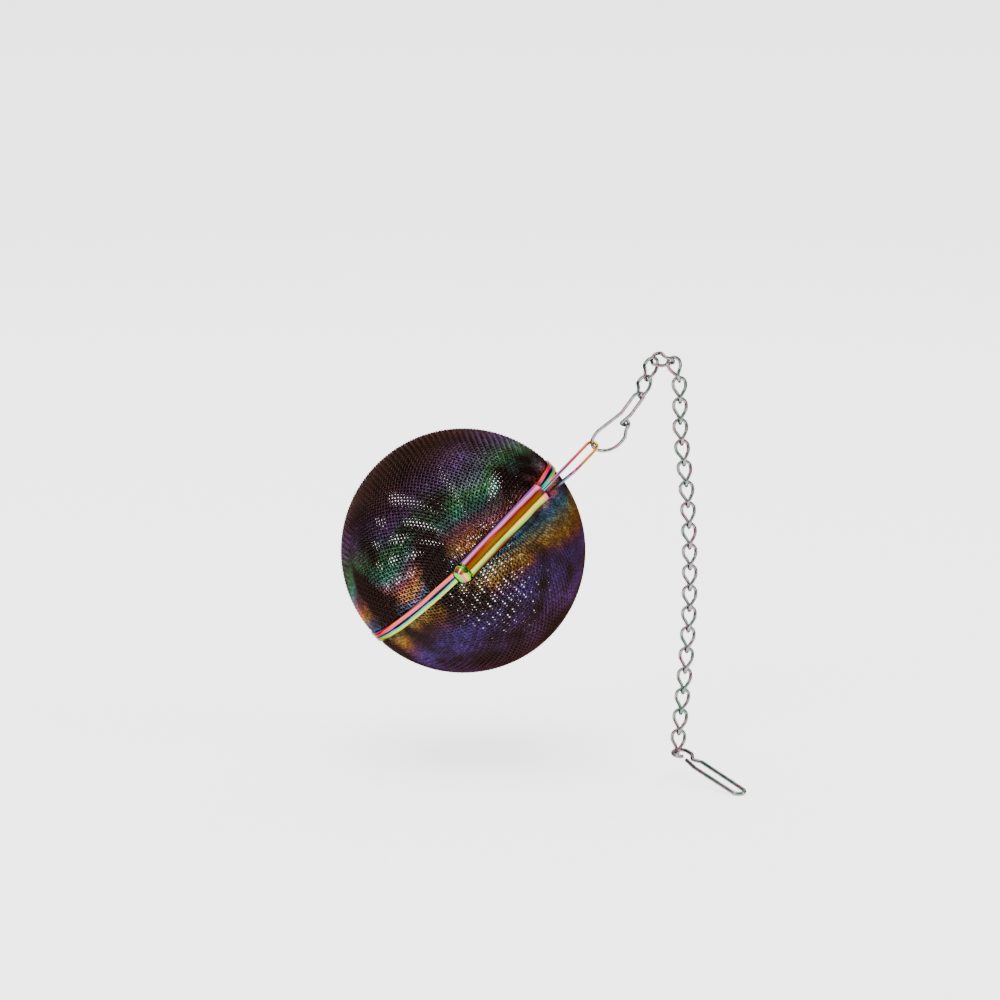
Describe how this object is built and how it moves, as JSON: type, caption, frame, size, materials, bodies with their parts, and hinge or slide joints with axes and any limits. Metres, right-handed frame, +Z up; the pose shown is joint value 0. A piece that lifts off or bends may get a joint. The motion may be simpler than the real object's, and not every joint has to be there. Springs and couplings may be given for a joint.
{
  "type": "tea infuser",
  "caption": "Woven mesh ball tea infuser in two hinged halves with a wire clip, a curb chain and a wire hook for the cup's rim.",
  "frame": {"origin": "lowest point of the closed ball, where it rests in the bowl of a cup", "axes": "+Z up; +X towards the side of the cup that the chain hangs over; the seam of the ball leans 44 degrees, rising towards +X"},
  "size_m": [0.0812, 0.0744, 0.0853],
  "materials": {
    "rainbow_mesh": "fine plain weave of stainless wire with a rainbow coating, dark purple, green and gold",
    "rainbow_steel": "polished stainless sheet with a rainbow coating, gold, pink and green",
    "chain_steel": "bright stainless wire"
  },
  "bodies": {
    "lower_half": {"lower_mesh_basket": "rainbow_mesh", "lower_rim": "rainbow_steel", "hinge_pin": "rainbow_steel", "hinge_wire": "rainbow_steel", "hinge_wire_strap": "rainbow_steel", "latch_keeper": "rainbow_steel"},
    "upper_half": {"upper_mesh_basket": "rainbow_mesh", "upper_rim": "rainbow_steel", "hinge_barrel": "rainbow_steel", "latch_anchor": "rainbow_steel"},
    "latch": {"latch_tongue": "rainbow_steel"},
    "clip": {"clip_body": "chain_steel"},
    "gate": {"clip_gate": "chain_steel"},
    "link_01": {"chain_link_01": "chain_steel"},
    "link_02": {"chain_link_02": "chain_steel"},
    "link_03": {"chain_link_03": "chain_steel"},
    "link_04": {"chain_link_04": "chain_steel"},
    "link_05": {"chain_link_05": "chain_steel"},
    "link_06": {"chain_link_06": "chain_steel"},
    "link_07": {"chain_link_07": "chain_steel"},
    "link_08": {"chain_link_08": "chain_steel"},
    "link_09": {"chain_link_09": "chain_steel"},
    "link_10": {"chain_link_10": "chain_steel"},
    "link_11": {"chain_link_11": "chain_steel"},
    "link_12": {"chain_link_12": "chain_steel"},
    "link_13": {"chain_link_13": "chain_steel"},
    "link_14": {"chain_link_14": "chain_steel"},
    "link_15": {"chain_link_15": "chain_steel"},
    "link_16": {"chain_link_16": "chain_steel"},
    "link_17": {"chain_link_17": "chain_steel"},
    "link_18": {"chain_link_18": "chain_steel"},
    "link_19": {"chain_link_19": "chain_steel"},
    "link_20": {"chain_link_20": "chain_steel"},
    "link_21": {"chain_link_21": "chain_steel"},
    "link_22": {"chain_link_22": "chain_steel"},
    "hook": {"end_hook": "chain_steel"}
  },
  "joints": [
    {"name": "basket_hinge", "type": "hinge", "parent": "lower_half", "child": "upper_half", "pos_m": [0.00753, -0.02591, 0.03227], "axis": [0.667, 0.3746, 0.6441], "range_deg": [0, 165]},
    {"name": "latch_flex", "type": "hinge", "parent": "upper_half", "child": "latch", "pos_m": [-0.00782, 0.02415, 0.01905], "axis": [0.667, 0.3746, 0.6441], "range_deg": [0, 8], "stiffness_Nm_per_rad": 0.02},
    {"name": "clip_swing", "type": "hinge", "parent": "lower_half", "child": "clip", "pos_m": [0.02678, -0.01607, 0.04954], "axis": [-0.7363, 0.4636, 0.4929], "range_deg": [-30, 30]},
    {"name": "clip_gate", "type": "hinge", "parent": "clip", "child": "gate", "pos_m": [0.03456, -0.01877, 0.05659], "axis": [-0.3322, 0.7296, 0.5978], "range_deg": [0, 9], "stiffness_Nm_per_rad": 0.01},
    {"name": "link_01", "type": "hinge", "parent": "clip", "child": "link_01", "pos_m": [0.03587, -0.02124, 0.06032], "axis": [-0.7982, -0.5551, 0.234], "range_deg": [-45, 60]},
    {"name": "link_02", "type": "hinge", "parent": "link_01", "child": "link_02", "pos_m": [0.03673, -0.02276, 0.06327], "axis": [-0.3149, 0.8586, 0.4045], "range_deg": [-60, 60]},
    {"name": "link_03", "type": "hinge", "parent": "link_02", "child": "link_03", "pos_m": [0.03821, -0.02433, 0.06777], "axis": [0.9015, 0.4038, -0.1555], "range_deg": [-60, 22]},
    {"name": "link_04", "type": "hinge", "parent": "link_03", "child": "link_04", "pos_m": [0.04181, -0.02593, 0.06805], "axis": [-0.9573, -0.0387, -0.2865], "range_deg": [-18, 55]},
    {"name": "link_05", "type": "hinge", "parent": "link_04", "child": "link_05", "pos_m": [0.04325, -0.0269, 0.06337], "axis": [-0.0195, -0.9801, 0.1974], "range_deg": [-32, 60]},
    {"name": "link_06", "type": "hinge", "parent": "link_05", "child": "link_06", "pos_m": [0.04338, -0.02696, 0.05995], "axis": [0.9938, 0.1105, 0.009], "range_deg": [-60, 60]},
    {"name": "link_07", "type": "hinge", "parent": "link_06", "child": "link_07", "pos_m": [0.04343, -0.02704, 0.05496], "axis": [-0.1104, 0.9938, -0.0163], "range_deg": [-60, 60]},
    {"name": "link_08", "type": "hinge", "parent": "link_07", "child": "link_08", "pos_m": [0.04369, -0.0271, 0.05156], "axis": [-0.987, -0.1122, -0.1151], "range_deg": [-60, 60]},
    {"name": "link_09", "type": "hinge", "parent": "link_08", "child": "link_09", "pos_m": [0.04428, -0.02718, 0.04661], "axis": [0.1094, -0.9935, 0.03], "range_deg": [-60, 60]},
    {"name": "link_10", "type": "hinge", "parent": "link_09", "child": "link_10", "pos_m": [0.04468, -0.02724, 0.04322], "axis": [0.9906, 0.1116, 0.0795], "range_deg": [-60, 60]},
    {"name": "link_11", "type": "hinge", "parent": "link_10", "child": "link_11", "pos_m": [0.04508, -0.02731, 0.03825], "axis": [-0.1101, 0.9936, -0.0238], "range_deg": [-60, 60]},
    {"name": "link_12", "type": "hinge", "parent": "link_11", "child": "link_12", "pos_m": [0.04529, -0.02735, 0.03484], "axis": [-0.9933, -0.111, -0.0328], "range_deg": [-60, 60]},
    {"name": "link_13", "type": "hinge", "parent": "link_12", "child": "link_13", "pos_m": [0.04546, -0.02741, 0.02986], "axis": [0.1106, -0.9938, 0.0152], "range_deg": [-60, 60]},
    {"name": "link_14", "type": "hinge", "parent": "link_13", "child": "link_14", "pos_m": [0.04553, -0.02744, 0.02645], "axis": [0.9939, 0.1107, 0.0001], "range_deg": [-60, 60]},
    {"name": "link_15", "type": "hinge", "parent": "link_14", "child": "link_15", "pos_m": [0.04554, -0.02748, 0.02146], "axis": [-0.1107, 0.9938, -0.009], "range_deg": [-60, 60]},
    {"name": "link_16", "type": "hinge", "parent": "link_15", "child": "link_16", "pos_m": [0.04549, -0.02751, 0.01805], "axis": [-0.9929, -0.1103, 0.0442], "range_deg": [-60, 60]},
    {"name": "link_17", "type": "hinge", "parent": "link_16", "child": "link_17", "pos_m": [0.04527, -0.02755, 0.01306], "axis": [0.1106, -0.9939, 0.0037], "range_deg": [-60, 60]},
    {"name": "link_18", "type": "hinge", "parent": "link_17", "child": "link_18", "pos_m": [0.04507, -0.02757, 0.00966], "axis": [0.9905, 0.11, -0.082], "range_deg": [-60, 60]},
    {"name": "link_19", "type": "hinge", "parent": "link_18", "child": "link_19", "pos_m": [0.04466, -0.02761, 0.00469], "axis": [-0.1103, 0.9939, 0.0013], "range_deg": [-60, 60]},
    {"name": "link_20", "type": "hinge", "parent": "link_19", "child": "link_20", "pos_m": [0.04434, -0.02764, 0.00129], "axis": [-0.9894, -0.1099, 0.0953], "range_deg": [-60, 60]},
    {"name": "link_21", "type": "hinge", "parent": "link_20", "child": "link_21", "pos_m": [0.04387, -0.02767, -0.00368], "axis": [0.1101, -0.9939, -0.003], "range_deg": [-60, 60]},
    {"name": "link_22", "type": "hinge", "parent": "link_21", "child": "link_22", "pos_m": [0.04356, -0.02771, -0.00707], "axis": [0.9914, 0.1101, -0.0706], "range_deg": [-60, 60]},
    {"name": "hook_swing", "type": "hinge", "parent": "link_22", "child": "hook", "pos_m": [0.0431, -0.02776, -0.01122], "axis": [0.8596, 0.4969, 0.1193], "range_deg": [-15, 110]}
  ]
}
